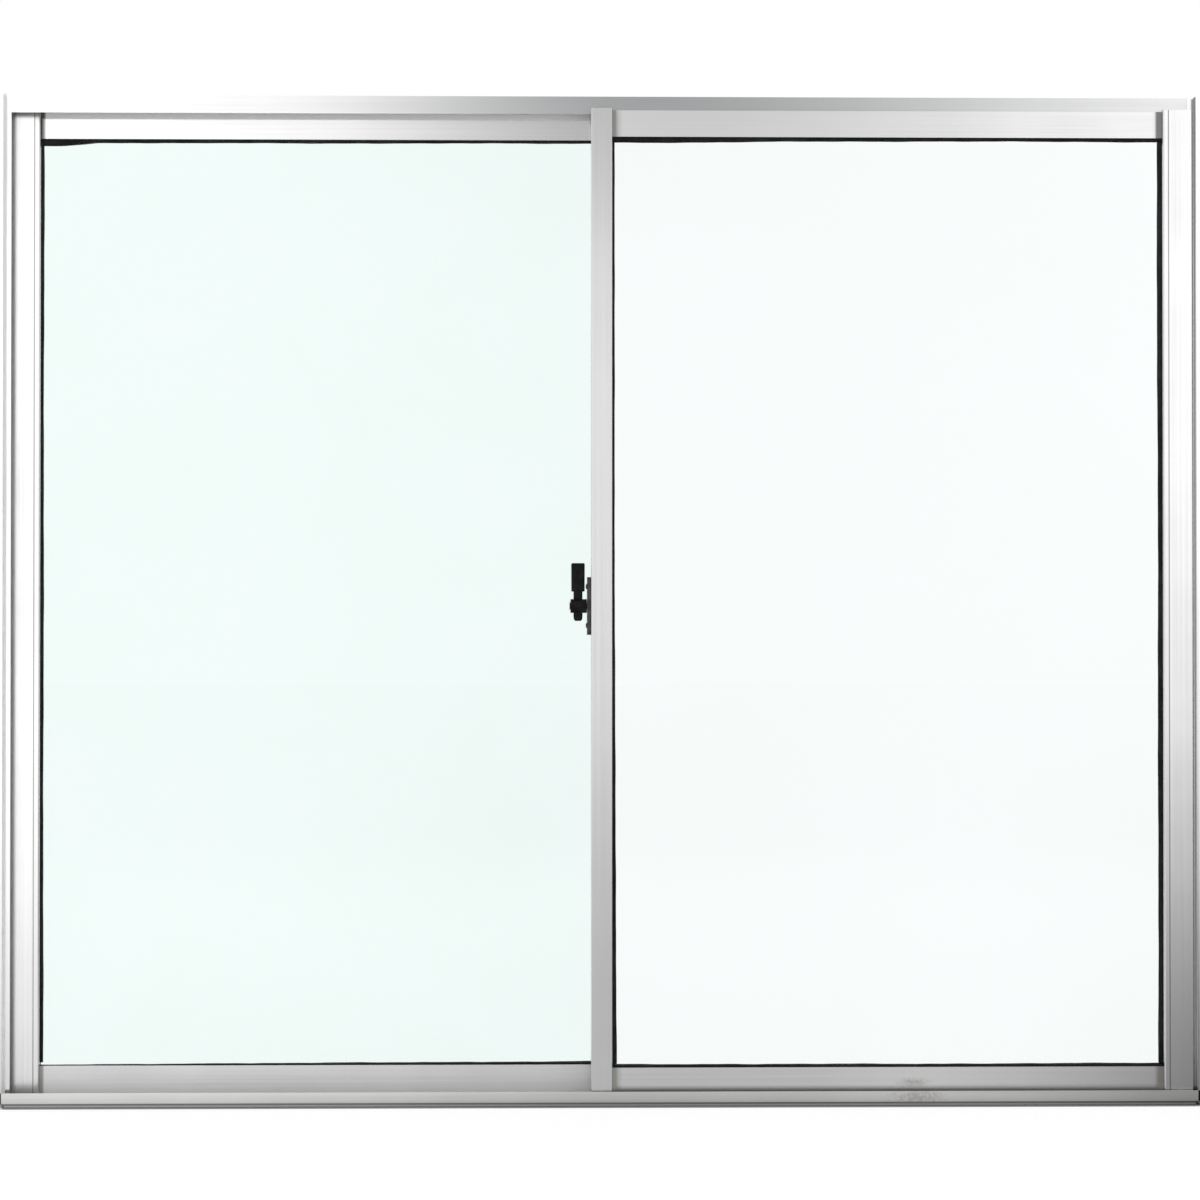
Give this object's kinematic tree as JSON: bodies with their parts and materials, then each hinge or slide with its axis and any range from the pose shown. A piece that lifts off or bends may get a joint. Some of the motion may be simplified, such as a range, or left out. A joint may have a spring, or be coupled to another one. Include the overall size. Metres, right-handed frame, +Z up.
{
  "type": "two-leaf sliding aluminium window",
  "caption": "Slim aluminium sliding window with clear glazed leaves on two tracks, black rubber gaskets and a black lever latch on the meeting stile.",
  "frame": {"origin": "centre of the sill's flat underside, in the middle between the two tracks", "axes": "+X to the right along the width, +Y from the latch side away to the other side, +Z up"},
  "size_m": [1.2, 0.064, 1.015],
  "materials": {
    "bright_aluminium": "polished extrusion",
    "clear_glass": "float glass",
    "black_rubber": "satin rubber",
    "white_nylon": "moulded nylon",
    "steel": "plain pin",
    "black_latch": "black coated casting"
  },
  "bodies": {
    "frame": {"sill_track": "bright_aluminium", "head_track": "bright_aluminium", "left_jamb": "bright_aluminium", "right_jamb": "bright_aluminium"},
    "left_leaf": {"left_leaf_outer_stile": "bright_aluminium", "left_leaf_meeting_stile": "bright_aluminium", "left_leaf_bottom_rail": "bright_aluminium", "left_leaf_top_rail": "bright_aluminium", "left_leaf_glass": "clear_glass", "left_leaf_outer_gasket": "black_rubber", "left_leaf_meeting_gasket": "black_rubber", "left_leaf_bottom_gasket": "black_rubber", "left_leaf_top_gasket": "black_rubber", "left_leaf_wheels": "white_nylon", "left_leaf_wheel_axles": "steel", "left_leaf_wheel_carriages": "white_nylon", "left_leaf_top_guides": "white_nylon"},
    "right_leaf": {"right_leaf_outer_stile": "bright_aluminium", "right_leaf_meeting_stile": "bright_aluminium", "right_leaf_bottom_rail": "bright_aluminium", "right_leaf_top_rail": "bright_aluminium", "right_leaf_glass": "clear_glass", "right_leaf_outer_gasket": "black_rubber", "right_leaf_meeting_gasket": "black_rubber", "right_leaf_bottom_gasket": "black_rubber", "right_leaf_top_gasket": "black_rubber", "right_leaf_wheels": "white_nylon", "right_leaf_wheel_axles": "steel", "right_leaf_wheel_carriages": "white_nylon", "right_leaf_top_guides": "white_nylon", "latch_plate": "black_latch", "latch_screws": "black_latch", "latch_axle": "black_latch"},
    "latch_lever": {"latch_lever": "black_latch"}
  },
  "joints": [
    {"name": "left_leaf_slide", "type": "slide", "parent": "frame", "child": "left_leaf", "axis": [1, 0, 0], "range_m": [0, 0.57]},
    {"name": "right_leaf_slide", "type": "slide", "parent": "frame", "child": "right_leaf", "axis": [-1, 0, 0], "range_m": [0, 0.55]},
    {"name": "latch_lever_turn", "type": "hinge", "parent": "right_leaf", "child": "latch_lever", "pos_m": [-0.02295, -0.017, 0.5015], "axis": [1, 0, 0], "range_deg": [0, 90]}
  ]
}
